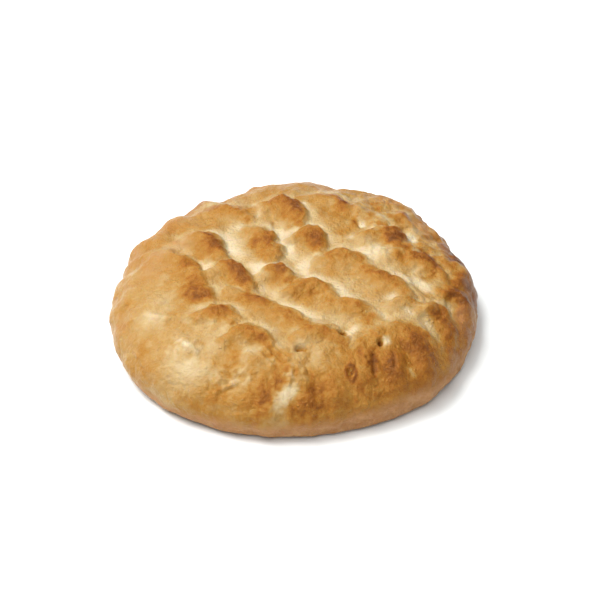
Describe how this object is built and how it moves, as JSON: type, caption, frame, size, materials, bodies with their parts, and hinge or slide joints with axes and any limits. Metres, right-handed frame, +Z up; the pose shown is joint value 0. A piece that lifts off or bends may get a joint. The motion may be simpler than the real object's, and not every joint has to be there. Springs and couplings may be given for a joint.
{
  "type": "pide bread",
  "caption": "Round soft flat loaf with a puffed golden rim and a top pressed all over with rows of fingertip dimples, resting on a flat base.",
  "frame": {"origin": "on the resting plane, under the middle of the loaf's bounding box", "axes": "+Z up, +Y towards the far side of the loaf as it is usually looked at, +X to the right"},
  "size_m": [0.2196, 0.2262, 0.045],
  "materials": {
    "crust": "baked bread crust, golden brown with pale dimples, faint egg-wash sheen on top, dull on the side and base"
  },
  "bodies": {
    "root": {"loaf": "crust"}
  },
  "joints": []
}
